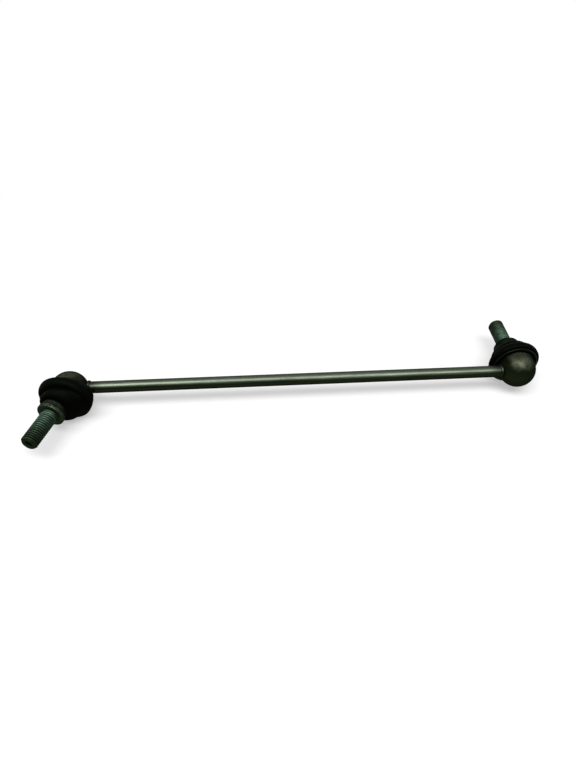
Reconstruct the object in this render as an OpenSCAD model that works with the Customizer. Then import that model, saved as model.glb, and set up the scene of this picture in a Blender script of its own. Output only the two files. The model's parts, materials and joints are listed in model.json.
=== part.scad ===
// Stabilizer link: a steel rod with a ball joint on each end, as fitted between an anti-roll bar and a strut.
// X runs along the rod, Z is up and the origin lies halfway between the two ball centres.
// The left stud points to -Y and the right stud to +Y.
// Sizes along a joint are counted from its ball centre towards the tip of its stud.

/* [Rod] */
// Distance between the two ball centres
link_length = 340; // [200:1:420]
// Diameter of the rod
rod_d = 9; // [8:0.5:11]
// How far the weld ring stands out from the rod
weld_height = 0.8; // [0.4:0.1:1.2]
// Length of the weld ring along the rod
weld_length = 3; // [2:0.5:4]

/* [Ball joint] */
// Diameter of the ball
ball_d = 18; // [16:0.5:20]
// Diameter of the stud's neck behind the boot
neck_d = 9; // [7:0.5:10]
// Wall of the plastic bearing round the ball
bearing_wall = 1.2; // [0.8:0.1:2]
// Wall of the housing beside the bearing
housing_wall = 3.45; // [2.8:0.05:5]
// Wall of the housing behind the bearing
back_wall = 1.95; // [1.5:0.05:4]
// How far the bearing reaches in front of the ball centre
seat_depth = 4.8; // [4:0.1:5.5]
// Thickness of the closing ring
closing_t = 1.2; // [0.8:0.1:1.6]
// Width of the ledge that the closing ring sits on
closing_ledge = 1.5; // [1:0.1:1.8]
// Thickness of the housing's lip, rolled over the closing ring
lip_t = 1.4; // [1:0.1:2]
// Rounding of the rolled lip
lip_round = 0.9; // [0.4:0.1:1]
// Swing of the stud to each side
swing = 20; // [10:1:22]

/* [Stud] */
// Diameter of the stud's thread
thread_d = 12; // [10:1:14]
// Length of the thread, from the collar to the tip
thread_length = 27.5; // [20:0.5:40]
// Chamfer of the thread's tip
tip_chamfer = 1.2; // [0.5:0.1:1.5]
// Depth of the undercut between the collar and the thread
undercut_depth = 0.7; // [0.3:0.1:1]
// Width of the undercut
undercut_w = 1.1; // [0.8:0.1:2]
// Distance from the ball centre to the collar's front face
collar_reach = 28; // [27:0.5:36]
// Diameter of the collar
collar_d = 20; // [19:0.5:24]
// Thickness of the collar
collar_t = 3; // [2:0.5:5]
// Rounding of the collar's edges
collar_round = 0.6; // [0.2:0.1:0.9]
// Diameter of the shallow dish in the collar's front face, round the foot of the thread
face_dish_d = 14.6; // [14:0.2:16]
// Depth of that dish
face_dish_depth = 0.35; // [0.2:0.05:0.6]
// Diameter of the plain seat that the boot's neck grips
boot_seat_d = 13; // [11:0.5:14]
// Length of the plain seat that the boot's neck grips
boot_seat_length = 5.5; // [4:0.5:7]
// Width across the flats of the hex socket in the tip
socket_af = 5; // [4:0.5:6]
// Depth of the hex socket
socket_depth = 5.5; // [3:0.5:8]
// Outward lean of the left stud as the link lies
left_lean = 20; // [0:1:20]
// Outward lean of the right stud as the link lies
right_lean = 0; // [0:1:20]

/* [Boot] */
// Wall of the boot's rear bead, on the housing
bead_wall = 1.95; // [1.5:0.05:3]
// How far the rear fold stands out beyond the bead
rear_fold_out = 3.4; // [2:0.1:4]
// Thickness of the rear fold along the joint
rear_fold_h = 6.4; // [5:0.1:8]
// Rounding of the rear fold's edges
rear_fold_round = 2; // [1:0.1:2.4]
// Radius of the front fold's crest
front_fold_r = 15.3; // [15:0.1:18]
// Thickness of the front fold along the joint
front_fold_h = 8; // [6:0.1:9]
// Wall of the skirt between the two folds
skirt_wall = 2.6; // [2:0.1:4]
// Wall of the boot's neck on the stud
neck_wall = 1.3; // [1.2:0.1:2]
// Length of the boot's neck in front of the front fold
neck_length = 4; // [3:0.1:5]
// Width of the clamp ring round the bead
clamp_w = 1; // [0.8:0.1:2]
// Thickness of the clamp ring
clamp_t = 1; // [0.6:0.1:1.4]
// Width of the ring round the boot's neck
neck_ring_w = 3.4; // [2:0.1:3.6]
// Thickness of the ring round the boot's neck, at its front edge
neck_ring_t = 1.4; // [1.2:0.1:2]
// How much thinner that ring is at its rear edge
neck_ring_taper = 0.9; // [0:0.1:1]

/* [Clearances] */
// Running gap between the ball and its bearing
run_gap = 0.05; // [0.02:0.01:0.1]
// Gap round a piece that is set into the housing
fit_gap = 0.05; // [0.02:0.01:0.1]
// Gap between a rubber piece and its neighbours
soft_gap = 0.3; // [0.3:0.05:0.4]
// Room round the stud's neck at full swing
mouth_gap = 0.3; // [0.2:0.05:0.5]

/* [Hidden] */
$fn = 96;
// Overshoot of a cutting shape past the face that it opens
cut = 1;

// Radii, from the ball outwards
rod_r = rod_d / 2;
ball_r = ball_d / 2;
neck_r = neck_d / 2;
thread_r = thread_d / 2;
collar_r = collar_d / 2;
boot_seat_r = boot_seat_d / 2;
bearing_in_r = ball_r + run_gap;
bearing_out_r = bearing_in_r + bearing_wall;
bore_r = bearing_out_r + fit_gap;
housing_r = bore_r + housing_wall;
closing_r = bore_r + closing_ledge;
bead_in_r = housing_r + soft_gap;
bead_r = bead_in_r + bead_wall;
clamp_in_r = bead_r + soft_gap;
rear_fold_r = bead_r + rear_fold_out;
boot_bore_r = boot_seat_r + soft_gap;
boot_neck_r = boot_bore_r + neck_wall;
neck_ring_in_r = boot_neck_r + soft_gap;
neck_ring_r = neck_ring_in_r + neck_ring_t;

// Places along the joint, from the back of the housing to the tip of the stud
dome_s = housing_r - bore_r - back_wall;
closing_s = seat_depth + closing_t;
lip_s = closing_s + lip_t;
bead_s = rod_r + weld_height + soft_gap;
clamp_setback = 0.1;
clamp_s = bead_s + clamp_setback;
clamp_front_s = clamp_s + clamp_w;
rear_fold_back_s = clamp_front_s + soft_gap;
rear_fold_s = rear_fold_back_s + rear_fold_h / 2;
collar_s = collar_reach - collar_t;
neck_front_s = collar_s - soft_gap;
neck_ring_s = neck_front_s - neck_ring_w;
shoulder_s = neck_front_s - neck_length;
neck_root_s = shoulder_s - 2 * neck_wall;
front_fold_s = shoulder_s - front_fold_h / 2;
boot_seat_s = collar_s - boot_seat_length;
tip_s = collar_reach + thread_length;

// Widest lean of the stud, when it swings fully both ways at once
full_lean = acos(cos(swing) * cos(swing));

// Radius that clears the leaning neck at a place along the joint
function mouth_r(s) = (neck_r + s * sin(full_lean)) / cos(full_lean) + mouth_gap;

// Places a joint on one end of the rod, with the joint's axis along its own Z
module at_end(side) {
    rotate([0, 0, side == "left" ? 0 : 180])
        translate([-link_length / 2, 0, 0])
            rotate([90, 0, 0])
                children();
}

// Leans a piece outwards about the ball centre
module leaning(angle) {
    rotate([0, -angle, 0]) children();
}

// Disc from one place along the joint to another
module disc(r, from_s, to_s) {
    translate([0, 0, from_s]) cylinder(r = r, h = to_s - from_s);
}

// Flat ring from one place along the joint to another
module flat_ring(out_r, in_r, from_s, to_s) {
    difference() {
        disc(out_r, from_s, to_s);
        disc(in_r, from_s - cut, to_s + cut);
    }
}

// Half section of a disc whose rim is rounded at the front, and at the back too if asked
module round_section(r, from_s, to_s, rounding, both = false) {
    translate([0, from_s]) square([r - rounding, to_s - from_s]);
    translate([0, from_s + (both ? rounding : 0)])
        square([r, to_s - from_s - (both ? 2 : 1) * rounding]);
    translate([r - rounding, to_s - rounding]) circle(rounding);
    if (both) translate([r - rounding, from_s + rounding]) circle(rounding);
}

// Disc with both edges of its rim rounded
module round_disc(r, from_s, to_s, rounding) {
    rotate_extrude() round_section(r, from_s, to_s, rounding, both = true);
}

// Round fold of the boot, its crest at crest_r
module fold(crest_r, height, at_s) {
    rotate_extrude() translate([crest_r - height / 2, at_s]) circle(height / 2);
}

// Outside of a housing: a cup with a domed back, turned as one section
module housing_outside() {
    rotate_extrude() {
        intersection() {
            translate([0, dome_s]) circle(housing_r);
            translate([0, dome_s - housing_r]) square([housing_r, housing_r + lip_s - lip_round - dome_s]);
        }
        round_section(housing_r, dome_s, lip_s, lip_round);
    }
}

module rod() {
    color("#767a68") difference() {
        union() {
            translate([-link_length / 2, 0, 0]) rotate([0, 90, 0]) cylinder(r = rod_r, h = link_length);
            for (side = ["left", "right"]) at_end(side) weld_ring();
        }
        for (side = ["left", "right"]) at_end(side) housing_outside();
    }
}

// Ring of metal pushed up where the rod is welded on
module weld_ring() {
    rotate([0, 90, 0]) rotate_extrude()
        translate([rod_r + weld_height - weld_length / 2, housing_r])
            circle(weld_length / 2);
}

module housing(side) {
    color("#6f7263") at_end(side) difference() {
        housing_outside();
        sphere(bore_r);
        disc(bore_r, 0, seat_depth + cut);
        disc(closing_r + fit_gap, seat_depth, closing_s);
        disc(mouth_r(lip_s), closing_s - cut, lip_s + cut);
    }
}

module bearing_cup(side) {
    color("#dcd9cc") at_end(side) difference() {
        sphere(bearing_out_r);
        sphere(bearing_in_r);
        disc(bearing_out_r + cut, 0, bearing_out_r + cut);
    }
}

module bearing_ring(side) {
    color("#dcd9cc") at_end(side) difference() {
        disc(bearing_out_r, 0, seat_depth);
        sphere(bearing_in_r);
        disc(mouth_r(seat_depth), 0, seat_depth + cut);
    }
}

module closing_ring(side) {
    color("#8f9294") at_end(side) flat_ring(closing_r, mouth_r(closing_s), seat_depth, closing_s);
}

module boot_clamp(side) {
    color("#a3a6ad") at_end(side) difference() {
        round_disc(clamp_in_r + clamp_t, clamp_s, clamp_front_s, clamp_t / 3);
        disc(clamp_in_r, clamp_s - cut, clamp_front_s + cut);
    }
}

// The bead stays with the housing, the two folds take half the lean and the neck all of it
module boot(side, lean) {
    skirt_in_r = front_fold_r - front_fold_h / 2;
    skirt_r = skirt_in_r + skirt_wall;
    color("#23251f") at_end(side) difference() {
        union() {
            disc(bead_r, bead_s, rear_fold_s);
            leaning(lean / 2) {
                round_disc(rear_fold_r, rear_fold_back_s, rear_fold_back_s + rear_fold_h, rear_fold_round);
                disc(skirt_r, rear_fold_s, front_fold_s);
                fold(front_fold_r, front_fold_h, front_fold_s);
                disc(skirt_in_r, front_fold_s, shoulder_s);
            }
            leaning(lean) disc(boot_neck_r, neck_root_s, neck_front_s);
        }
        disc(bead_in_r, -housing_r, lip_s + soft_gap);
        disc(skirt_in_r, lip_s, rear_fold_s + cut);
        leaning(lean / 2) {
            disc(skirt_in_r, lip_s, front_fold_s);
            translate([0, 0, front_fold_s])
                cylinder(r1 = skirt_in_r, r2 = boot_bore_r, h = shoulder_s - front_fold_s - neck_wall);
        }
        leaning(lean) disc(boot_bore_r, front_fold_s, neck_front_s + cut);
        flat_ring(clamp_in_r + clamp_t + soft_gap, bead_r, clamp_s - soft_gap, clamp_front_s + soft_gap);
        leaning(lean) flat_ring(neck_ring_r + soft_gap, boot_neck_r, neck_ring_s - soft_gap, neck_front_s + cut);
    }
}

// Ring with a tapered outside, which holds the boot's neck on the stud
module boot_neck_ring(side, lean) {
    color("#5d6156") at_end(side) leaning(lean)
        rotate_extrude() polygon([
            [neck_ring_in_r, neck_ring_s],
            [neck_ring_r - neck_ring_taper, neck_ring_s],
            [neck_ring_r, neck_front_s],
            [neck_ring_in_r, neck_front_s]
        ]);
}

module ball_stud(side, lean) {
    flare = boot_seat_r - neck_r;
    undercut_r = thread_r - undercut_depth;
    undercut_s = collar_reach + undercut_w;
    collar_mid_s = collar_reach - collar_t / 2;
    color("#6d8b82") at_end(side) leaning(lean)
        difference() {
            union() {
                sphere(ball_r);
                rotate_extrude() polygon([
                    [0, 0],
                    [neck_r, 0],
                    [neck_r, boot_seat_s - flare],
                    [boot_seat_r, boot_seat_s],
                    [boot_seat_r, collar_mid_s],
                    [undercut_r, collar_mid_s],
                    [undercut_r, undercut_s],
                    [thread_r, undercut_s],
                    [thread_r, tip_s - tip_chamfer],
                    [thread_r - tip_chamfer, tip_s],
                    [0, tip_s]
                ]);
                rotate_extrude() difference() {
                    round_section(collar_r, collar_s, collar_reach, collar_round, both = true);
                    translate([0, collar_reach - face_dish_depth])
                        square([face_dish_d / 2, face_dish_depth + cut]);
                }
            }
            translate([0, 0, tip_s - socket_depth])
                cylinder(d = socket_af / cos(30), h = socket_depth + cut, $fn = 6);
        }
}

rod();
housing("left");  // left_housing
bearing_cup("left");  // left_bearing_cup
bearing_ring("left");  // left_bearing_ring
closing_ring("left");  // left_closing_ring
boot_clamp("left");  // left_boot_clamp
boot("left", left_lean);  // left_boot
boot_neck_ring("left", left_lean);  // left_boot_neck_ring
ball_stud("left", left_lean);  // left_ball_stud
housing("right");  // right_housing
bearing_cup("right");  // right_bearing_cup
bearing_ring("right");  // right_bearing_ring
closing_ring("right");  // right_closing_ring
boot_clamp("right");  // right_boot_clamp
boot("right", right_lean);  // right_boot
boot_neck_ring("right", right_lean);  // right_boot_neck_ring
ball_stud("right", right_lean);  // right_ball_stud
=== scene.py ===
"""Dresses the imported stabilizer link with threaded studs, folded boots, finishes and a plain stage.

Sizes along a joint are counted from its ball centre towards the tip of its stud.
"""

import json
import math

import bmesh
import bpy
from bpy.props import FloatProperty, FloatVectorProperty, PointerProperty
from mathutils import Matrix, Vector


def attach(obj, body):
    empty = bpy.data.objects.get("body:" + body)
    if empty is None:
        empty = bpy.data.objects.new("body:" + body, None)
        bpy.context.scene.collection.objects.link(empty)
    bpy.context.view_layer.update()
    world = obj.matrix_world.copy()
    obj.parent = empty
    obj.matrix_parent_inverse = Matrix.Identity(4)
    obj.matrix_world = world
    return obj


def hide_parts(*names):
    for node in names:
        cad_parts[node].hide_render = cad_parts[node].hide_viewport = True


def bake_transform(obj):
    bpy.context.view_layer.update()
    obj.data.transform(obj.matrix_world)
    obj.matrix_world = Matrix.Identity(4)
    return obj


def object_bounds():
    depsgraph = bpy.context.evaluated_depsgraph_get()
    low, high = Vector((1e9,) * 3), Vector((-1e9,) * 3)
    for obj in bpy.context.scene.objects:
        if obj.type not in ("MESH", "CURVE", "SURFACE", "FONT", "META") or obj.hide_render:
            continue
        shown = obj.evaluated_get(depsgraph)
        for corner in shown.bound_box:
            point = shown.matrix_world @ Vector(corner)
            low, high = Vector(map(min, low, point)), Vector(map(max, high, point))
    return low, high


bl_info = {
    "name": "Stabilizer Link",
    "version": (1, 0, 0),
    "blender": (4, 5, 0),
    "location": "View3D > Sidebar > Link",
    "description": "Dresses a stabilizer link with its studs, boots, finishes and stage",
    "category": "Object",
}

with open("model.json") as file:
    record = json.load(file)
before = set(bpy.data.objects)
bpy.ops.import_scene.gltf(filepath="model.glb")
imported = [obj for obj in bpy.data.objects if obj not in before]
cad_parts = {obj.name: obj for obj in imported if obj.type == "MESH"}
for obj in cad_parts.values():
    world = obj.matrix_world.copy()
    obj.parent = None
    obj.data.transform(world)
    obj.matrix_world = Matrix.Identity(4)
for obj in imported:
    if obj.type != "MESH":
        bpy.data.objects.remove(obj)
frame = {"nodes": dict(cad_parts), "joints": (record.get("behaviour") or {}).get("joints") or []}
CAD_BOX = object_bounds()
JOINTS = {joint["name"]: joint for joint in frame["joints"]}

PHOTO_LONG_SIDE = 768
SIDES = ("left", "right")
MM = 0.001
# Points round each ring of a mesh
COLUMNS = 96
# Attribute in which each point of a mesh keeps its place from before the mesh was set in its joint
JOINT_PLACE = "joint_place"
# Direction from the link to the strip light
LAMP_DIRECTION = Vector((-0.08, -0.31, 0.95)).normalized()

# Where the section of a ball begins, in degrees, beside the axis at its back
BALL_FROM = -86
# Rolled thread over one pitch: place, and height from the root to the rounded crest
THREAD_PROFILE = (
    (0.0, 0.0), (0.11, 0.0), (0.22, 0.04), (0.36, 0.42), (0.49, 0.80), (0.54, 0.92),
    (0.59, 0.985), (0.625, 1.0), (0.66, 0.985), (0.71, 0.92), (0.76, 0.80), (0.89, 0.42),
)
# Share of a pitch over which the thread rises out of its groove
THREAD_RISE = 0.8
# Width of the drilled point under the hex socket, as a share of the socket's
DRILL_SHARE = 0.8

# In degrees, where the rear fold's round front ends, and where the front fold's round begins and ends
LIP_ANGLE = 80
FRONT_ANGLES = (-36, 84)
# Shares of a stud's lean that its boot takes: at the crease, round the back and the front of the rear fold,
# from the front fold's crest to its end, in the hollow before the neck, and where the bore leaves the housing
SEAM_SHARE = 0.5
BACK_SHARES = (0.06, 0.16, 0.28, 0.4, 0.48, 0.53, 0.55)
LIP_SHARES = (0.55, 0.55, 0.55, 0.55, 0.54, 0.53, 0.51, SEAM_SHARE)
FRONT_SHARES = (0.46, 0.80)
HOLLOW_SHARE = 0.94
BORE_SHARE = 0.1
# Shares of a swing that a boot's folds take at the lip beside the crease and at the shoulder beside the neck
LIP_TURN = 0.6
SHOULDER_TURN = 0.63
# Lean at which the crease fills out and the front fold is pulled straight in full
FULL_LEAN = math.radians(20)
# Lean of the crease under which a joint counts as straight
STRAIGHT = math.radians(1)
# How far from the crease it fills out where it is stretched
CREASE_REACH = 2.2 * MM
# A front fold that is pulled straight: its height over the neck at its end, and its slope
TAUT_RISE = 0.6 * MM
TAUT_SLOPE = 1.1
# Distance from the crease at which the blends of the folds on its two sides stop
FOLD_GAP = 0.05 * MM
# Length of a leaning neck that turns fully with the stud
NECK_HOLD = 3.4 * MM
# Rounds of corner cutting that soften a boot's sections
CORNER_CUTS = 2

# Share of metal in the plated steel, and tint of its reflections at grazing angles
PLATED = 0.92
GRAZING_TINT = (0.12, 0.12, 0.12, 1.0)
# Tint of the rubber's faint sheen
RUBBER_SHEEN = (0.75, 1.0, 0.65, 1.0)
# Distances from the link's middle between which the rod's heat tint sets in, and its full share
HEAT_SPAN = (146 * MM, 153 * MM)
HEAT_SHARE = 0.75
# Painted shade for rings inside the joints, only on faces that look almost straight down, as the two values
# that the underside mask takes
LITTLE_PAINTED_SHADE = (-0.6, -1.2)


def size(label, description, millimetres):
    """A length property whose default is given in millimetres."""
    return FloatProperty(
        name=label, description=description, default=millimetres * MM, min=0.0,
        unit="LENGTH", subtype="DISTANCE",
    )


def colour(label, description, red, green, blue):
    """A colour property, in linear light."""
    return FloatVectorProperty(
        name=label, description=description, default=(red, green, blue), min=0.0, max=1.0,
        size=3, subtype="COLOR",
    )


def number(label, description, default):
    """A plain number property."""
    return FloatProperty(name=label, description=description, default=default)


# Sizes and colours that a user would change


class StudSizes(bpy.types.PropertyGroup):
    ball: size("Ball", "Diameter of the ball", 18)
    neck: size("Neck", "Diameter of the neck behind the boot", 9)
    seat: size("Boot seat", "Diameter of the plain seat under the boot's neck", 13)
    seat_from: size("Boot seat from", "Where the plain seat begins", 19.5)
    collar: size("Collar", "Diameter of the collar", 20)
    collar_from: size("Collar from", "Where the collar begins", 25)
    collar_to: size("Collar to", "Where the collar's front face lies", 28)
    collar_round: size("Collar rounding", "Rounding of the collar's edges", 0.6)
    relief: size("Relief", "Diameter of the groove between collar and thread", 10.6)
    relief_width: size("Relief width", "Width of the groove between collar and thread", 1.1)
    dish: size("Dish", "Diameter of the shallow dish in the collar's front face", 14.6)
    dish_depth: size("Dish depth", "Depth of the dish in the collar's front face", 0.35)
    thread: size("Thread", "Outer diameter of the thread", 12)
    pitch: size("Pitch", "Pitch of the thread", 1.75)
    thread_depth: size("Thread depth", "Depth of the thread", 1.02)
    tip: size("Tip", "Where the tip's face lies", 55.5)
    tip_chamfer: size("Tip chamfer", "Chamfer of the tip", 1.2)
    socket: size("Socket", "Width across the flats of the hex socket", 5)
    socket_depth: size("Socket depth", "Depth of the hex socket", 5.5)
    mouth: size("Mouth", "How far the socket's mouth reaches past the corners of the hexagon", 0.2)
    mouth_depth: size("Mouth depth", "Depth of the socket's tapered mouth", 0.4)
    drill_from: size("Drill from", "How far below the hexagon the drilled point begins", 0.3)
    drill_to: size("Drill to", "How far below the hexagon the drilled point ends", 1.2)


class BootSizes(bpy.types.PropertyGroup):
    bead_from: size("Bead from", "Where the rear bead begins", 5.6)
    bead_bore: size("Bead bore", "Diameter of the bead's bore on the housing", 28.1)
    bead: size("Bead", "Diameter of the bead under the clamp ring", 32.4)
    bore_rest: size("Bore rest", "How far past the clamp ring the bore lies on the housing", 1.2)
    rear_from: size("Rear fold from", "Where the rear fold begins, in front of the clamp ring", 6.95)
    rear_crest: size("Rear crest", "Diameter over the rear fold", 38.7)
    rear_round: size("Rear rounding", "Rounding of the rear fold's back edge", 1.9)
    rear_slope: size("Rear slope", "Rounding of the rear fold's front edge", 3.2)
    lip_gap: size("Lip gap", "Gap between the rear fold's round front and the crease", 0.5)
    lip_foot: size("Lip foot", "How far behind the crease the lip's foot lies", 0.3)
    lip_height: size("Lip height", "Height of the lip's foot over the crease", 0.9)
    crease: size("Crease", "Diameter at the crease between the folds", 28.4)
    crease_at: size("Crease at", "Where the crease lies", 13.9)
    crease_rise: size("Crease rise", "Rise of the front fold out of the crease", 0.4)
    front_crest: size("Front crest", "Diameter over the front fold", 30.5)
    front_at: size("Front fold at", "Where the front fold is widest", 16.7)
    front_thick: size("Front thickness", "Thickness of the front fold", 8)
    neck: size("Neck", "Diameter of the neck on the stud", 16.7)
    neck_gap: size("Neck gap", "Gap between the front fold's end and the straight neck", 0.3)
    hollow_height: size("Hollow height", "Height over the neck of the hollow before it", 1.2)
    neck_bore: size("Neck bore", "Diameter of the neck's bore", 13.4)
    neck_to: size("Neck to", "Where the neck ends", 24.65)
    shoulder_bore: size("Shoulder bore", "Diameter inside the shoulder, so that the stud can swing", 19.2)
    wall: size("Wall", "Wall of the folds", 1.2)
    crease_wall: size("Crease wall", "Wall at the crease, which is thin so that it bends", 0.5)
    ease: size("Ease", "How far the crease fills out on the side that is stretched", 2.6)
    taut: number("Taut", "Share by which the front fold is pulled straight where it is stretched", 0.8)


class LinkColours(bpy.types.PropertyGroup):
    rod_dark: colour("Rod, dark", "Darker tone of the rod's plating", 0.120, 0.145, 0.106)
    rod_pale: colour("Rod, pale", "Paler tone of the rod's plating", 0.170, 0.202, 0.152)
    housing_dark: colour("Housing, dark", "Darker tone of the housings' plating", 0.036, 0.046, 0.025)
    housing_pale: colour("Housing, pale", "Paler tone of the housings' plating", 0.150, 0.172, 0.118)
    stud_dark: colour("Stud, dark", "Darker tone of the threads' plating", 0.112, 0.212, 0.138)
    stud_pale: colour("Stud, pale", "Paler tone of the threads' plating", 0.255, 0.455, 0.325)
    tip: colour("Tip", "Tone of the tips, where the plating is darker", 0.058, 0.076, 0.044)
    collar: colour("Collar", "Tone of the left collar, which is greyer than the threads", 0.114, 0.155, 0.101)
    # Dark tone of real stains, also laid on as painted shade in the thread's roots and on faces that look
    # down
    grime_and_painted_shade: colour("Grime", "Oily grime in the thread's roots and underneath", 0.0105, 0.0150, 0.0063)
    # Painted shade: the right collar and neck ring get this near black tone, as if they lay in shade
    darkened: colour("Soiled", "Tone of the right collar and neck ring, dark with grease", 0.012, 0.015, 0.008)
    heat: colour("Heat tint", "Tone of the rod next to its welds", 0.032, 0.035, 0.028)
    rubber: colour("Rubber", "Tone of the boots", 0.0003, 0.0005, 0.0002)
    # Dust, and a painted sheen: this paler tone goes mostly on the rubber's upper faces
    dust_and_painted_sheen: colour("Dust", "Dust on the rubber's upper side", 0.0030, 0.0037, 0.0024)
    spring: colour("Clamp steel", "Tone of the clamp rings", 0.0225, 0.0250, 0.0215)
    neck_ring: colour("Neck ring", "Tone of the ring round the left boot's neck", 0.150, 0.175, 0.135)
    pressed: colour("Pressed steel", "Tone of the closing rings", 0.300, 0.305, 0.300)
    plastic: colour("Plastic", "Tone of the bearings", 0.620, 0.600, 0.500)
    floor: colour("Floor", "Tone of the floor", 0.960, 0.960, 0.955)


class StageSettings(bpy.types.PropertyGroup):
    azimuth: number("Azimuth", "Turn of the camera about the upright axis, in degrees", -5.57)
    elevation: number("Elevation", "Height of the camera, in degrees", 45.12)
    roll: number("Roll", "Roll of the camera, in degrees", 1.66)
    distance: number("Distance", "Distance of the camera, in millimetres", 456.5)
    shift_right: number("Right", "Sideways move of the camera, in millimetres", -8.89)
    shift_up: number("Up", "Upward move of the camera, in millimetres", -3.69)
    focal: number("Focal length", "Focal length, in pixels of the photograph", 602.8)
    lamp: number("Light", "Power of the strip light overhead, in watts", 190.0)
    lamp_height: number("Light height", "Distance of the strip light, in metres", 4.0)
    lamp_length: number("Light length", "Length of the strip light along the rod, in metres", 5.0)
    lamp_width: number("Light width", "Width of the strip light, in metres", 1.7)
    ambient: number("Fill", "Strength of the fill light", 0.3)
    floor_glow: number("Floor glow", "Share of plain white in the floor as it is seen beside the link", 0.44)
    glow_from: number("Glow from", "Distance at which that share begins to grow, in metres", 0.25)
    glow_to: number("Glow to", "Distance beyond which the floor is plain white, in metres", 0.45)
    floor_size: number("Floor size", "Side of the floor, in metres", 40.0)


class LinkSettings(bpy.types.PropertyGroup):
    stud: PointerProperty(type=StudSizes)
    boot: PointerProperty(type=BootSizes)
    colours: PointerProperty(type=LinkColours)
    stage: PointerProperty(type=StageSettings)


# Places


def stud_axis(side):
    return Vector(JOINTS[side + "_spin"]["axis"]).normalized()


def joint_place(side):
    """Matrix of a joint's own frame: X out along the rod, Z along the housing, the ball at its origin."""
    centre = Vector(JOINTS[side + "_spin"]["pos_m"])
    along = Vector((0, math.copysign(1, stud_axis(side).y), 0))
    outward = Vector((math.copysign(1, centre.x), 0, 0))
    turn = Matrix((outward, along.cross(outward), along)).transposed()
    return Matrix.Translation(centre) @ turn.to_4x4()


def joint_lean(side):
    """Outward lean of a stud from its housing's axis as the link lies."""
    local = joint_place(side).to_3x3().inverted() @ stud_axis(side)
    return math.atan2(local.x, local.z)


def leaning(angle):
    """Rotation about the ball centre that leans a piece outwards."""
    return Matrix.Rotation(angle, 4, "Y")


def smooth_step(value, low, high):
    t = min(max((value - low) / (high - low), 0.0), 1.0)
    return t * t * (3 - 2 * t)


# Sections, as lists of places along the joint and radii


def arc(at, centre_r, radius, from_deg, to_deg, steps):
    """Round part of a section. Zero degrees points away from the axis, ninety towards the tip."""
    turns = [math.radians(from_deg + (to_deg - from_deg) * i / steps) for i in range(steps + 1)]
    return [(at + radius * math.sin(a), centre_r + radius * math.cos(a)) for a in turns]


def softened(section, times):
    """Cuts the corners of an open section and keeps its two ends."""
    for _ in range(times):
        cut = [section[0]]
        for before, after in zip(section, section[1:]):
            for share in (0.25, 0.75):
                cut.append(tuple(a + share * (b - a) for a, b in zip(before, after)))
        section = cut + [section[-1]]
    return section


def circle(bm, at, radius):
    """Ring of vertices. The radius may be a function of the angle."""
    ring = []
    for column in range(COLUMNS):
        angle = math.tau * column / COLUMNS
        r = radius(angle) if callable(radius) else radius
        ring.append(bm.verts.new((r * math.cos(angle), r * math.sin(angle), at)))
    return ring


def skin(bm, rings, closed=False):
    """Quads between each ring and the next."""
    following = rings[1:] + rings[:1] if closed else rings[1:]
    for low, high in zip(rings, following):
        for column in range(COLUMNS):
            after = (column + 1) % COLUMNS
            bm.faces.new((low[column], low[after], high[after], high[column]))


def cap(bm, ring, at):
    """Fan that closes a ring at a point on the axis."""
    pole = bm.verts.new((0, 0, at))
    for column in range(COLUMNS):
        bm.faces.new((pole, ring[(column + 1) % COLUMNS], ring[column]))


def finish_mesh(bm, name, place, sharp_deg):
    """Joins what meets, turns the faces outwards and makes a smooth shaded object, set in place.

    Each point keeps its earlier place as an attribute, for the finishes.
    """
    bmesh.ops.remove_doubles(bm, verts=bm.verts, dist=1e-7)
    bmesh.ops.recalc_face_normals(bm, faces=bm.faces)
    mesh = bpy.data.meshes.new(name)
    bm.to_mesh(mesh)
    bm.free()
    kept = mesh.attributes.new(JOINT_PLACE, "FLOAT_VECTOR", "POINT")
    kept.data.foreach_set("vector", [x for vert in mesh.vertices for x in vert.co])
    mesh.transform(place)
    mesh.polygons.foreach_set("use_smooth", [True] * len(mesh.polygons))
    mesh.set_sharp_from_angle(angle=math.radians(sharp_deg))
    piece = bpy.data.objects.new(name, mesh)
    bpy.context.scene.collection.objects.link(piece)
    return piece


# Ball studs


def shank_section(stud):
    """Section of a stud from behind its ball to the groove where the thread begins."""
    ball_r, neck_r, seat_r, collar_r = stud.ball / 2, stud.neck / 2, stud.seat / 2, stud.collar / 2
    edge, front, dished = stud.collar_round, stud.collar_to, stud.collar_to - stud.dish_depth
    dish_r, relief_r = stud.dish / 2, stud.relief / 2
    neck_angle = math.degrees(math.acos(neck_r / ball_r))
    section = arc(0, 0, ball_r, BALL_FROM, neck_angle, 23)
    section += [(stud.seat_from - (seat_r - neck_r), neck_r), (stud.seat_from, seat_r)]
    section += [(stud.collar_from, seat_r)]
    section += arc(stud.collar_from + edge, collar_r - edge, edge, -90, 0, 5)
    section += arc(front - edge, collar_r - edge, edge, 0, 90, 5)
    section += [(front, dish_r), (dished, dish_r - stud.dish_depth)]
    section += [(dished, relief_r + stud.dish_depth), (front, relief_r)]
    return section + [(front + stud.relief_width, relief_r)]


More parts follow.
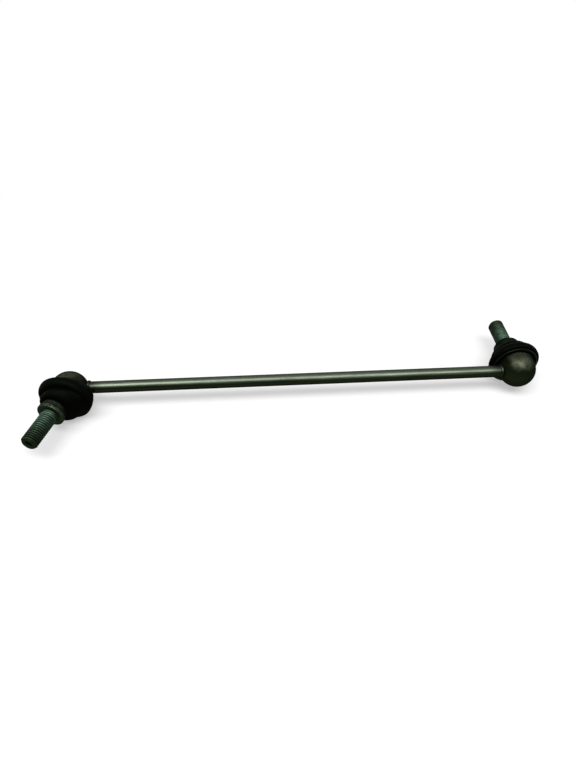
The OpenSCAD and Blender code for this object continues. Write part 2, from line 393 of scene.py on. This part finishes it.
def thread_rows(bm, stud, start):
    """Helical grid of the thread. It runs out into the groove at the start and into the chamfer at the tip.

    The grid begins a turn before the groove and ends past the tip, and what lies beyond them is pressed flat.
    """
    crest_r, start_r = stud.thread / 2, stud.relief / 2
    root_r = crest_r - stud.thread_depth
    step = len(THREAD_PROFILE)
    turns = int((stud.tip - start) / stud.pitch) + 3
    rows = []
    for row in range(turns * step):
        phase, height = THREAD_PROFILE[row % step]
        height = root_r + stud.thread_depth * height
        ring = []
        for column in range(COLUMNS):
            angle = math.tau * column / COLUMNS
            s = start + stud.pitch * (row // step - 1 + phase + column / COLUMNS)
            s = min(max(s, start), stud.tip)
            r = start_r + (height - start_r) * smooth_step(s, start, start + THREAD_RISE * stud.pitch)
            r = min(r, crest_r - stud.tip_chamfer + (stud.tip - s))
            ring.append(bm.verts.new((r * math.cos(angle), r * math.sin(angle), s)))
        rows.append(ring)
    for row in range(len(rows) - step - 1):
        low, high = rows[row], rows[row + 1]
        for column in range(COLUMNS - 1):
            bm.faces.new((low[column], low[column + 1], high[column + 1], high[column]))
        bm.faces.new((low[-1], rows[row + step][0], rows[row + step + 1][0], high[-1]))


def socket_radius(across_flats):
    """Radius of a hexagon as a function of the angle."""
    sixth = math.pi / 3
    return lambda angle: across_flats / 2 / math.cos((angle + sixth / 2) % sixth - sixth / 2)


def build_stud(side, stud):
    bm = bmesh.new()
    shank = [circle(bm, s, r) for s, r in shank_section(stud)]
    skin(bm, shank)
    cap(bm, shank[0], -stud.ball / 2)
    thread_rows(bm, stud, stud.collar_to + stud.relief_width)
    tip_r, mouth_r = stud.thread / 2 - stud.tip_chamfer, stud.socket / math.sqrt(3) + stud.mouth
    hexagon = socket_radius(stud.socket)
    floor_at = stud.tip - stud.socket_depth
    face = [circle(bm, stud.tip, tip_r), circle(bm, stud.tip, mouth_r)]
    face += [circle(bm, stud.tip - stud.mouth_depth, hexagon), circle(bm, floor_at, hexagon)]
    face += [circle(bm, floor_at - stud.drill_from, stud.socket / 2 * DRILL_SHARE)]
    skin(bm, face)
    cap(bm, face[-1], floor_at - stud.drill_to)
    place = joint_place(side) @ leaning(joint_lean(side))
    return finish_mesh(bm, side + "_threaded_stud", place, sharp_deg=40)


# Boots, whose sections also hold the share of the stud's lean at each place


def sharing(points, share):
    return [(s, r, share) for s, r in points]


def rear_round(boot, steps):
    """Round front of the rear fold, which ends at the lip beside the crease."""
    radius = boot.rear_slope
    at = boot.crease_at - boot.lip_gap - radius
    return arc(at, boot.rear_crest / 2 - radius, radius, 0, LIP_ANGLE, steps)


def front_round(boot, steps):
    """Round of the front fold, which ends at the shoulder beside the neck."""
    thick = boot.front_thick / 2
    return arc(boot.front_at, boot.front_crest / 2 - thick, thick, *FRONT_ANGLES, steps)


def front_end(boot):
    """Where the front fold's full round would reach furthest towards the tip."""
    return boot.front_at + boot.front_thick / 2


def neck_start(boot):
    """Where the straight neck begins."""
    return front_end(boot) + boot.neck_gap


def rear_sections(boot):
    """Outer and inner section of a boot from its bead to the lip."""
    bead_r, bore_r, crest_r = boot.bead / 2, boot.bead_bore / 2, boot.rear_crest / 2
    edge, hollow_r, crease_r = boot.rear_round, boot.crease / 2 - boot.wall, boot.crease / 2
    bead = [(boot.bead_from, bore_r), (boot.bead_from, bead_r), (boot.rear_from, bead_r)]
    outer = sharing(bead + [(boot.rear_from, crest_r - edge)], 0)
    back = arc(boot.rear_from + edge, crest_r - edge, edge, -90, 0, len(BACK_SHARES) - 1)
    outer += [(s, r, share) for (s, r), share in zip(back, BACK_SHARES)]
    outer += [(s, r, share) for (s, r), share in zip(rear_round(boot, len(LIP_SHARES) - 1), LIP_SHARES)]
    hollow = arc(boot.crease_at - boot.rear_slope, hollow_r, boot.rear_slope - boot.wall, 60, -60, 6)
    inner = sharing([(outer[-1][0], crease_r - boot.crease_wall)] + hollow, SEAM_SHARE)
    inner += [(boot.rear_from + boot.bore_rest, bore_r, BORE_SHARE)]
    inner += sharing([(boot.rear_from, bore_r), (boot.bead_from, bore_r)], 0)
    return outer, inner


def lip_sections(boot):
    """Outer and inner section of a boot from the lip to the crease."""
    crease_r = boot.crease / 2
    inside_r = crease_r - boot.crease_wall
    lip_at, lip_r = rear_round(boot, 1)[-1]
    foot = (boot.crease_at - boot.lip_foot, crease_r + boot.lip_height)
    outer = [(lip_at, lip_r), foot, (boot.crease_at, crease_r)]
    inner = [(boot.crease_at, inside_r), (lip_at, inside_r)]
    return sharing(outer, SEAM_SHARE), sharing(inner, SEAM_SHARE)


def front_share(boot, s):
    """Share of the lean on the front fold."""
    low, high = FRONT_SHARES
    return low + (high - low) * smooth_step(s, boot.front_at, front_end(boot))


def front_sections(boot):
    """Outer and inner section of a boot from the crease to the shoulder."""
    thick, crest_r, crease_r = boot.front_thick / 2, boot.front_crest / 2, boot.crease / 2
    rise = (boot.crease_at + boot.crease_rise, crease_r + boot.crease_rise)
    outer = sharing([(boot.crease_at, crease_r), rise], SEAM_SHARE)
    outer += [(s, r, front_share(boot, s)) for s, r in front_round(boot, 14)]
    shoulder = (outer[-1][0], boot.shoulder_bore / 2)
    hollow = arc(boot.front_at, crest_r - thick, thick - boot.wall, 70, -30, 9)
    inner = [(s, r, front_share(boot, s)) for s, r in [shoulder] + hollow]
    inner += [(boot.crease_at, crease_r - boot.crease_wall, SEAM_SHARE)]
    return outer, inner


def neck_sections(boot):
    """Outer and inner section of a boot from the shoulder to its neck's end."""
    neck_r, bore_r, neck_from = boot.neck / 2, boot.neck_bore / 2, neck_start(boot)
    shoulder_at, shoulder_r = front_round(boot, 1)[-1]
    share = front_share(boot, shoulder_at)
    hollow = (front_end(boot) + boot.neck_gap / 2, neck_r + boot.hollow_height, HOLLOW_SHARE)
    outer = [(shoulder_at, shoulder_r, share), hollow]
    outer += sharing([(neck_from, neck_r), (boot.neck_to, neck_r), (boot.neck_to, bore_r)], 1)
    inner = sharing([(boot.neck_to, bore_r), (neck_from, bore_r)], 1)
    inner += [(shoulder_at, boot.shoulder_bore / 2, share)]
    return outer, inner


def build_fold(side, name, sections, boot):
    """Closed wall of a boot's part, bent with the stud's lean as the link lies."""
    lean = joint_lean(side)
    stretch = math.sin(abs(lean)) / math.sin(FULL_LEAN)
    bm = bmesh.new()
    rings = []
    for section, wall in zip(sections, (0.0, boot.wall)):
        for s, r, share in softened(section, CORNER_CUTS):
            near_crease = 1 - smooth_step(abs(s - boot.crease_at), 0, CREASE_REACH)
            straight = boot.neck / 2 + TAUT_RISE + TAUT_SLOPE * (front_end(boot) - s) - wall
            drawn_in = boot.taut * max(0, r - straight) * smooth_step(s, boot.crease_at, boot.front_at)
            move = stretch * (boot.ease * near_crease - drawn_in)
            ring = circle(bm, s, lambda angle: r + move * max(0, -math.cos(angle)) ** 2)
            for vert in ring:
                vert.co = leaning(lean * share) @ vert.co
            rings.append(ring)
    skin(bm, rings, closed=True)
    return finish_mesh(bm, name, joint_place(side), sharp_deg=50)


def blend_span(low, low_share, high, high_share):
    """Start and end of a blend that gives these shares of a turn at these two places."""
    at_low, at_high = (0.5 - math.sin(math.asin(1 - 2 * share) / 3) for share in (low_share, high_share))
    length = (high - low) / (at_high - at_low)
    return low - at_low * length, low + (1 - at_low) * length


def fold_spans(side, boot):
    """Start and end of the blends of a boot's four parts, along the axis of its crease."""
    turn = abs(joint_lean(side)) * SEAM_SHARE
    lip_at, shoulder_at = rear_round(boot, 1)[-1][0], front_round(boot, 1)[-1][0]
    before, after = boot.crease_at - FOLD_GAP, boot.crease_at + FOLD_GAP
    bead_at = boot.rear_from * math.cos(turn) + boot.bead / 2 * math.sin(turn)
    rear = blend_span(bead_at, 0, lip_at, LIP_TURN)
    lip = blend_span(lip_at, LIP_TURN, before, 1)
    if turn < STRAIGHT:
        front = blend_span(after, 0, shoulder_at, SHOULDER_TURN)
        neck = blend_span(shoulder_at, SHOULDER_TURN, neck_start(boot), 1)
    else:
        held_from = boot.neck_to * math.cos(turn) - boot.neck / 2 * math.sin(turn) - NECK_HOLD
        front = neck = (after, held_from)
    return rear, lip, front, neck


# Shader building


def add(tree, kind, values=None, **settings):
    """New node with its settings, and its inputs set to values or linked to sockets."""
    made = tree.nodes.new(kind)
    for name, value in settings.items():
        setattr(made, name, value)
    for name, value in (values or {}).items():
        if isinstance(value, bpy.types.NodeSocket):
            tree.links.new(value, made.inputs[name])
        else:
            made.inputs[name].default_value = value
    return made


def calculate(tree, operation, first, second=0.0):
    return add(tree, "ShaderNodeMath", {0: first, 1: second}, operation=operation).outputs[0]


def blend_colour(tree, factor, first, second):
    mixed = add(tree, "ShaderNodeMix", {0: factor, 6: first, 7: second}, data_type="RGBA")
    return mixed.outputs[2]


def remap(tree, value, low, high, to_low=0.0, to_high=1.0, **settings):
    values = {"Value": value, "From Min": low, "From Max": high, "To Min": to_low, "To Max": to_high}
    return add(tree, "ShaderNodeMapRange", values, **settings).outputs["Result"]


def noise(tree, vector, scale, detail=3.0, roughness=0.55):
    values = {"Vector": vector, "Scale": scale, "Detail": detail, "Roughness": roughness}
    return add(tree, "ShaderNodeTexNoise", values).outputs["Fac"]


def distance_of(tree, vector):
    return add(tree, "ShaderNodeVectorMath", {0: vector}, operation="LENGTH").outputs["Value"]


def object_place(tree):
    return add(tree, "ShaderNodeTexCoord").outputs["Object"]


def opaque(tone):
    return (*tone, 1.0)


def shade(tone, share):
    return [share * x for x in tone]


# Effects that several finishes share


def group_with(name, inputs, outputs):
    """Empty node group with named sockets, each input as its name, socket type and default."""
    group = bpy.data.node_groups.new(name, "ShaderNodeTree")
    for label, kind, default in inputs:
        socket = group.interface.new_socket(label, in_out="INPUT", socket_type=kind)
        if default is not None:
            socket.default_value = default
    for label, kind in outputs:
        group.interface.new_socket(label, in_out="OUTPUT", socket_type=kind)
    return group, group.nodes.new("NodeGroupInput").outputs, group.nodes.new("NodeGroupOutput").inputs


def plating_group():
    """Mottled plating with fine grain: a colour between two tones, a spread for roughness and a height."""
    group, given, out = group_with(
        "Mottled plating",
        [
            ("Vector", "NodeSocketVector", None),
            ("Dark", "NodeSocketColor", (0, 0, 0, 1)),
            ("Pale", "NodeSocketColor", (1, 1, 1, 1)),
            ("Patch scale", "NodeSocketFloat", 120.0),
            ("Grain scale", "NodeSocketFloat", 1500.0),
            ("Smooth", "NodeSocketFloat", 0.35),
            ("Rough", "NodeSocketFloat", 0.5),
        ],
        [("Colour", "NodeSocketColor"), ("Roughness", "NodeSocketFloat"), ("Height", "NodeSocketFloat")],
    )
    patches = noise(group, given["Vector"], given["Patch scale"], 4.0, 0.6)
    grain = noise(group, given["Vector"], given["Grain scale"], 2.0, 0.5)
    patch_tone = calculate(group, "MULTIPLY", patches, 0.7)
    grain_tone = calculate(group, "MULTIPLY", grain, 0.3)
    spread = remap(group, calculate(group, "ADD", patch_tone, grain_tone), 0.34, 0.66)
    rough = remap(group, grain, 0.3, 0.7, given["Smooth"], given["Rough"])
    height = calculate(group, "ADD", calculate(group, "MULTIPLY", patches, 0.6), grain)
    group.links.new(blend_colour(group, spread, given["Dark"], given["Pale"]), out["Colour"])
    group.links.new(rough, out["Roughness"])
    group.links.new(height, out["Height"])
    return group


def marks_group():
    """Small scattered marks: a mask that is 1 on a mark and 0 elsewhere."""
    group, given, out = group_with(
        "Scattered marks",
        [
            ("Vector", "NodeSocketVector", None),
            ("Scale", "NodeSocketFloat", 300.0),
            ("Cover", "NodeSocketFloat", 0.3),
        ],
        [("Mask", "NodeSocketFloat")],
    )
    spots = noise(group, given["Vector"], given["Scale"], 5.0, 0.7)
    edge = calculate(group, "SUBTRACT", 0.75, calculate(group, "MULTIPLY", given["Cover"], 0.5))
    group.links.new(remap(group, calculate(group, "SUBTRACT", spots, edge), 0.0, 0.08), out["Mask"])
    return group


def place_group(tree, name, build, values):
    """Places a shared group with its own values. The group is built the first time that it is placed."""
    group = bpy.data.node_groups.get(name) or build()
    return add(tree, "ShaderNodeGroup", values, node_tree=group).outputs


def mottling(tree, place, tones, scales, roughness):
    """Mottled plating between two tones, with the scales of its patches and grain and its roughness."""
    values = {"Vector": place, "Dark": opaque(tones[0]), "Pale": opaque(tones[1])}
    values.update({"Patch scale": scales[0], "Grain scale": scales[1]})
    values.update({"Smooth": roughness[0], "Rough": roughness[1]})
    return place_group(tree, "Mottled plating", plating_group, values)


def marks(tree, place, scale, cover):
    values = {"Vector": place, "Scale": scale, "Cover": cover}
    return place_group(tree, "Scattered marks", marks_group, values)["Mask"]


def painted_underside_shade(tree, place, unshaded_at, darkened):
    """Mask of painted shade that is 0 on faces that look up and 1 on faces that look down, which it darkens.

    It runs between two values of the upright part of a face's direction, with a blotchy edge.
    """
    facing = add(tree, "ShaderNodeNewGeometry").outputs["Normal"]
    upright = add(tree, "ShaderNodeSeparateXYZ", {"Vector": facing}).outputs["Z"]
    blotches = remap(tree, noise(tree, place, 190.0, 4.0, 0.62), 0.25, 0.75, -0.16, 0.16)
    ragged = calculate(tree, "ADD", upright, blotches)
    return remap(tree, ragged, unshaded_at, darkened, interpolation_type="SMOOTHSTEP")


# Finishes


def new_material(name, metallic, specular=0.5):
    """Material with a Principled shader. Returns the material, its node tree and the shader."""
    material = bpy.data.materials.new(name)
    material.use_nodes = True
    shader = material.node_tree.nodes["Principled BSDF"]
    shader.inputs["Metallic"].default_value = metallic
    shader.inputs["Specular IOR Level"].default_value = specular
    if metallic:
        shader.inputs["Specular Tint"].default_value = GRAZING_TINT
    return material, material.node_tree, shader


def set_surface(tree, shader, tone, roughness, height, relief):
    """Gives a shader its colour, its roughness and a bump of this relief."""
    bump = add(tree, "ShaderNodeBump", {"Height": height, "Distance": relief, "Strength": 1.0})
    tree.links.new(tone, shader.inputs["Base Color"])
    tree.links.new(roughness, shader.inputs["Roughness"])
    tree.links.new(bump.outputs["Normal"], shader.inputs["Normal"])


def plated_material(
    name, tones, grime_and_painted_shade, scales, roughness, relief,
    along=(1, 1, 1), painted_shade_span=(1.02, 0.4), stains=(0.34, 0.6), heat=None,
):
    """Satin plated steel between two tones, with darker stains and painted shade on faces that look down.

    Its marks are drawn out along the axes by the shares in along. The painted shade span holds the two values
    that the underside mask of painted shade takes, and stains the cover and strength of the stains. A heat
    tint may set in towards both ends along X.
    """
    material, tree, shader = new_material(name, PLATED)
    place = add(tree, "ShaderNodeMapping", {"Vector": object_place(tree), "Scale": along}).outputs["Vector"]
    plating = mottling(tree, place, tones, scales, roughness)
    tone = plating["Colour"]
    if heat:
        from_middle = add(tree, "ShaderNodeSeparateXYZ", {"Vector": object_place(tree)}).outputs["X"]
        from_middle = calculate(tree, "ABSOLUTE", from_middle)
        tone = blend_colour(tree, remap(tree, from_middle, *HEAT_SPAN, 0.0, HEAT_SHARE), tone, opaque(heat))
    cover, strength = stains
    stained = calculate(tree, "MULTIPLY", marks(tree, place, scales[0] * 2, cover), strength)
    # Darker tone on real stains, and painted shade on faces that look down
    darkened = calculate(tree, "MAXIMUM", stained, painted_underside_shade(tree, place, *painted_shade_span))
    tone = blend_colour(tree, darkened, tone, opaque(grime_and_painted_shade))
    set_surface(tree, shader, tone, plating["Roughness"], plating["Height"], relief)
    return material


def stud_material(name, collar, colours, stud):
    """Bluish green plating on the thread, another tone on the collar, stains, and painted shade in the
    thread's roots and on faces that look down.
    """
    material, tree, shader = new_material(name, PLATED)
    place = add(tree, "ShaderNodeAttribute", attribute_name=JOINT_PLACE).outputs["Vector"]
    axes = add(tree, "ShaderNodeSeparateXYZ", {"Vector": place}).outputs
    across = add(tree, "ShaderNodeCombineXYZ", {"X": axes["X"], "Y": axes["Y"]}).outputs["Vector"]
    satin = (0.42, 0.56)
    plating = mottling(tree, place, (colours.stud_dark, colours.stud_pale), (160.0, 1800.0), satin)
    turned = mottling(tree, place, (shade(collar, 0.4), shade(collar, 1.3)), (330.0, 1500.0), satin)
    on_thread = remap(tree, axes["Z"], stud.collar_to - 0.1 * MM, stud.collar_to + 0.2 * MM)
    darker_from, darker_to = stud.collar_to + 0.3 * (stud.tip - stud.collar_to), stud.tip - 4 * MM
    to_tip = calculate(tree, "MULTIPLY", remap(tree, axes["Z"], darker_from, darker_to), 0.9)
    along = blend_colour(tree, to_tip, plating["Colour"], opaque(colours.tip))
    tone = blend_colour(tree, on_thread, turned["Colour"], along)
    crest_r, depth = stud.thread / 2, stud.thread_depth
    # Painted shade in the thread's roots
    root_shade = remap(tree, distance_of(tree, across), crest_r - 0.45 * depth, crest_r - depth)
    root_shade = calculate(tree, "MULTIPLY", root_shade, on_thread)
    strength = remap(tree, on_thread, 0.0, 1.0, 0.8, 0.2)
    stained = calculate(tree, "MULTIPLY", marks(tree, place, 420.0, 0.52), strength)
    darkened = calculate(tree, "MAXIMUM", root_shade, stained)
    # Painted shade on the stud's sides and lower faces
    darkened = calculate(tree, "MAXIMUM", darkened, painted_underside_shade(tree, place, 1.0, 0.15))
    tone = blend_colour(tree, calculate(tree, "MULTIPLY", darkened, 0.9), tone, opaque(colours.grime_and_painted_shade))
    set_surface(tree, shader, tone, plating["Roughness"], plating["Height"], 0.02 * MM)
    return material


def rubber_material(colours):
    """Matt black rubber with a fine moulded skin, dust, and a painted sheen that makes the upper faces paler
    than the lower.
    """
    material, tree, shader = new_material("Boot rubber", 0.0, specular=0.03)
    shader.inputs["Specular Tint"].default_value = RUBBER_SHEEN
    place = object_place(tree)
    # Painted sheen and dust: the upper faces get a paler tone and the lower faces stay black
    below = painted_underside_shade(tree, place, 0.9, 0.1)
    dust_and_painted_sheen = remap(tree, marks(tree, place, 420.0, 0.42), 0.0, 1.0, 0.45, 1.0)
    sheen_and_dust_mask = calculate(tree, "MULTIPLY", dust_and_painted_sheen, calculate(tree, "SUBTRACT", 1.0, below))
    tone = blend_colour(tree, sheen_and_dust_mask, opaque(colours.rubber), opaque(colours.dust_and_painted_sheen))
    grain = noise(tree, place, 1600.0, 3.0, 0.6)
    dull = calculate(tree, "MAXIMUM", remap(tree, grain, 0.3, 0.7, 0.5, 0.68), below)
    set_surface(tree, shader, tone, dull, grain, 0.03 * MM)
    return material


def plain_steel(name, tone, grime_and_painted_shade, roughness, painted_shade_span):
    """Rolled steel with faint marks, and painted shade on faces that look down."""
    tones = (shade(tone, 0.45), shade(tone, 1.1))
    return plated_material(
        name, tones, grime_and_painted_shade, (260.0, 2400.0), roughness, 0.01 * MM, painted_shade_span=painted_shade_span, stains=(0.5, 0.7)
    )


def plastic_material(colours):
    """Off-white bearing plastic with a faint moulded texture."""
    material, tree, shader = new_material("Bearing plastic", 0.0)
    place = object_place(tree)
    clouds = noise(tree, place, 300.0)
    tone = blend_colour(tree, clouds, opaque(shade(colours.plastic, 0.8)), opaque(colours.plastic))
    roughness = remap(tree, clouds, 0.3, 0.7, 0.35, 0.5)
    set_surface(tree, shader, tone, roughness, noise(tree, place, 2500.0), 0.01 * MM)
    return material


def floor_material(stage, tone):
    """Pale floor that keeps the link's shadow, and is seen as plain white away from the link."""
    material, tree, shader = new_material("Floor", 0.0, specular=0.0)
    shader.inputs["Base Color"].default_value = opaque(tone)
    shader.inputs["Roughness"].default_value = 1.0
    rays = add(tree, "ShaderNodeLightPath").outputs
    seen = calculate(tree, "MAXIMUM", rays["Is Camera Ray"], rays["Is Glossy Ray"])
    seen = calculate(tree, "MAXIMUM", seen, rays["Is Transmission Ray"])
    away = distance_of(tree, object_place(tree))
    glow = remap(tree, away, stage.glow_from, stage.glow_to, stage.floor_glow, 1.0)
    share = calculate(tree, "MULTIPLY", seen, glow)
    white = add(tree, "ShaderNodeEmission", {"Color": (1, 1, 1, 1), "Strength": 1.0})
    mixed = add(tree, "ShaderNodeMixShader", {0: share, 1: shader.outputs[0], 2: white.outputs[0]})
    tree.links.new(mixed.outputs[0], tree.nodes["Material Output"].inputs["Surface"])
    return material


def dress(material, *node_names):
    """Gives CAD nodes a material."""
    for name in node_names:
        mesh = frame["nodes"][name].data
        mesh.materials.clear()
        mesh.materials.append(material)


# Stage


def add_camera(scene, stage):
    turn, height, roll = (math.radians(x) for x in (stage.azimuth, stage.elevation, stage.roll))
    back = Vector((math.sin(turn) * math.cos(height), -math.cos(turn) * math.cos(height), math.sin(height)))
    level = Vector((math.cos(turn), math.sin(turn), 0))
    upright = back.cross(level)
    right = math.cos(roll) * level + math.sin(roll) * upright
    up = math.cos(roll) * upright - math.sin(roll) * level
    data = bpy.data.cameras.new("Camera")
    data.lens = stage.focal / PHOTO_LONG_SIDE * data.sensor_width
    data.clip_start = 0.01
    camera = bpy.data.objects.new("Camera", data)
    scene.collection.objects.link(camera)
    eye = (back * stage.distance + right * stage.shift_right + up * stage.shift_up) * MM
    camera.matrix_world = Matrix.Translation(eye) @ Matrix((right, up, back)).transposed().to_4x4()
    scene.camera = camera


def add_floor(scene, stage, tone):
    half, low = stage.floor_size / 2, CAD_BOX[0][2]
    mesh = bpy.data.meshes.new("Floor")
    corners = [(-half, -half, low), (half, -half, low), (half, half, low), (-half, half, low)]
    mesh.from_pydata(corners, [], [(0, 1, 2, 3)])
    mesh.materials.append(floor_material(stage, tone))
    floor = bpy.data.objects.new("Floor", mesh)
    scene.collection.objects.link(floor)


def add_light(scene, stage):
    data = bpy.data.lights.new("Strip light", "AREA")
    data.energy = stage.lamp
    data.shape = "RECTANGLE"
    data.size, data.size_y = stage.lamp_length, stage.lamp_width
    light = bpy.data.objects.new("Strip light", data)
    facing = LAMP_DIRECTION.to_track_quat("Z", "Y").to_matrix().to_4x4()
    light.matrix_world = Matrix.Translation(LAMP_DIRECTION * stage.lamp_height) @ facing
    scene.collection.objects.link(light)
    world = bpy.data.worlds.new("Studio")
    scene.world = world
    world.use_nodes = True
    fill = world.node_tree.nodes["Background"].inputs
    fill["Color"].default_value = (1, 1, 1, 1)
    fill["Strength"].default_value = stage.ambient
    scene.view_settings.view_transform = "Standard"


# Operators


class LINK_OT_stage(bpy.types.Operator):
    """Add the floor, the light and the camera"""

    bl_idname = "stabilizer_link.stage"
    bl_label = "Stage"

    def execute(self, context):
        settings = context.scene.stabilizer_link
        add_camera(context.scene, settings.stage)
        add_floor(context.scene, settings.stage, settings.colours.floor)
        add_light(context.scene, settings.stage)
        return {"FINISHED"}


class LINK_OT_rod(bpy.types.Operator):
    """Finish the rod as drawn and plated steel"""

    bl_idname = "stabilizer_link.rod"
    bl_label = "Rod"

    def execute(self, context):
        colours = context.scene.stabilizer_link.colours
        # The default span gives the rod's lower half painted shade
        drawn = plated_material(
            "Rod plating", (colours.rod_dark, colours.rod_pale), colours.grime_and_painted_shade,
            scales=(260.0, 1700.0), roughness=(0.34, 0.46), relief=0.02 * MM,
            along=(0.06, 1, 1), heat=colours.heat,
        )
        dress(drawn, "rod")
        return {"FINISHED"}


class LINK_OT_housings(bpy.types.Operator):
    """Finish the two joint housings as pressed and plated steel"""

    bl_idname = "stabilizer_link.housings"
    bl_label = "Housings"

    def execute(self, context):
        colours = context.scene.stabilizer_link.colours
        pressed = plated_material(
            "Housing plating", (colours.housing_dark, colours.housing_pale), colours.grime_and_painted_shade,
            scales=(170.0, 1300.0), roughness=(0.46, 0.6), relief=0.05 * MM,
            # Painted shade on the lower half of the housings
            painted_shade_span=(1.04, 0.55), stains=(0.46, 0.65),
        )
        dress(pressed, *(side + "_housing" for side in SIDES))
        return {"FINISHED"}


class LINK_OT_bearings(bpy.types.Operator):
    """Finish the plastic bearings and the closing rings inside the housings"""

    bl_idname = "stabilizer_link.bearings"
    bl_label = "Bearings"

    def execute(self, context):
        colours = context.scene.stabilizer_link.colours
        plastic = plastic_material(colours)
        pressed = plain_steel("Closing steel", colours.pressed, colours.grime_and_painted_shade, (0.3, 0.45), LITTLE_PAINTED_SHADE)
        for side in SIDES:
            dress(plastic, side + "_bearing_cup", side + "_bearing_ring")
            dress(pressed, side + "_closing_ring")
        return {"FINISHED"}


class LINK_OT_boot_rings(bpy.types.Operator):
    """Finish the rings that hold the boots"""

    bl_idname = "stabilizer_link.boot_rings"
    bl_label = "Boot rings"

    def execute(self, context):
        colours = context.scene.stabilizer_link.colours
        clamps = plain_steel("Clamp steel", colours.spring, colours.grime_and_painted_shade, (0.34, 0.46), LITTLE_PAINTED_SHADE)
        # The right neck ring gets the painted shade tone in place of its own
        for side, tone in zip(SIDES, (colours.neck_ring, colours.darkened)):
            dress(clamps, side + "_boot_clamp")
            name = side.title() + " neck ring steel"
            dress(plain_steel(name, tone, colours.grime_and_painted_shade, (0.4, 0.52), (1.0, 0.2)), side + "_boot_neck_ring")
        return {"FINISHED"}


class LINK_OT_ball_studs(bpy.types.Operator):
    """Build the two ball studs with their threads and hex sockets"""

    bl_idname = "stabilizer_link.ball_studs"
    bl_label = "Ball studs"

    def execute(self, context):
        settings = context.scene.stabilizer_link
        colours = settings.colours
        # The right collar gets the painted shade tone in place of its own
        for side, collar in zip(SIDES, (colours.collar, colours.darkened)):
            stud = build_stud(side, settings.stud)
            plating = stud_material(side.title() + " stud plating", collar, colours, settings.stud)
            stud.data.materials.append(plating)
            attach(stud, side + "_stud")
            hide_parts(side + "_ball_stud")
        return {"FINISHED"}


class LINK_OT_boots(bpy.types.Operator):
    """Build the two rubber boots, each as four folds that meet at their edges, bent with the studs' lean as
    the link lies
    """

    bl_idname = "stabilizer_link.boots"
    bl_label = "Boots"

    def execute(self, context):
        settings = context.scene.stabilizer_link
        sizes = settings.boot
        rubber = rubber_material(settings.colours)
        for side in SIDES:
            boot, neck = side + "_boot", side + "_neck"
            parts = (
                ("_rear_fold", rear_sections(sizes), ("link", boot)),
                ("_crease_lip", lip_sections(sizes), ("link", boot)),
                ("_front_fold", front_sections(sizes), (boot, neck)),
                ("_neck_sleeve", neck_sections(sizes), (boot, neck)),
            )
            for (name, sections, bodies), span in zip(parts, fold_spans(side, sizes)):
                fold = build_fold(side, boot + name, sections, sizes)
                fold.data.materials.append(rubber)
                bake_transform(fold)
                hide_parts(boot)
        return {"FINISHED"}


class LINK_PT_panel(bpy.types.Panel):
    """Lists the link's pieces and its stage"""

    bl_idname = "LINK_PT_panel"
    bl_label = "Stabilizer link"
    bl_space_type = "VIEW_3D"
    bl_region_type = "UI"
    bl_category = "Link"

    def draw(self, context):
        for operator in OPERATORS:
            self.layout.operator(operator.bl_idname)


OPERATORS = (
    LINK_OT_stage,
    LINK_OT_rod,
    LINK_OT_housings,
    LINK_OT_bearings,
    LINK_OT_boot_rings,
    LINK_OT_ball_studs,
    LINK_OT_boots,
)
CLASSES = (StudSizes, BootSizes, LinkColours, StageSettings, LinkSettings, *OPERATORS, LINK_PT_panel)


def register():
    for cls in CLASSES:
        bpy.utils.register_class(cls)
    bpy.types.Scene.stabilizer_link = PointerProperty(type=LinkSettings)


def unregister():
    del bpy.types.Scene.stabilizer_link
    for cls in reversed(CLASSES):
        bpy.utils.unregister_class(cls)


def main():
    register()
    bpy.ops.stabilizer_link.stage()
    bpy.ops.stabilizer_link.rod()
    bpy.ops.stabilizer_link.housings()
    bpy.ops.stabilizer_link.bearings()
    bpy.ops.stabilizer_link.boot_rings()
    bpy.ops.stabilizer_link.ball_studs()
    bpy.ops.stabilizer_link.boots()


if __name__ == "__main__":
    main()
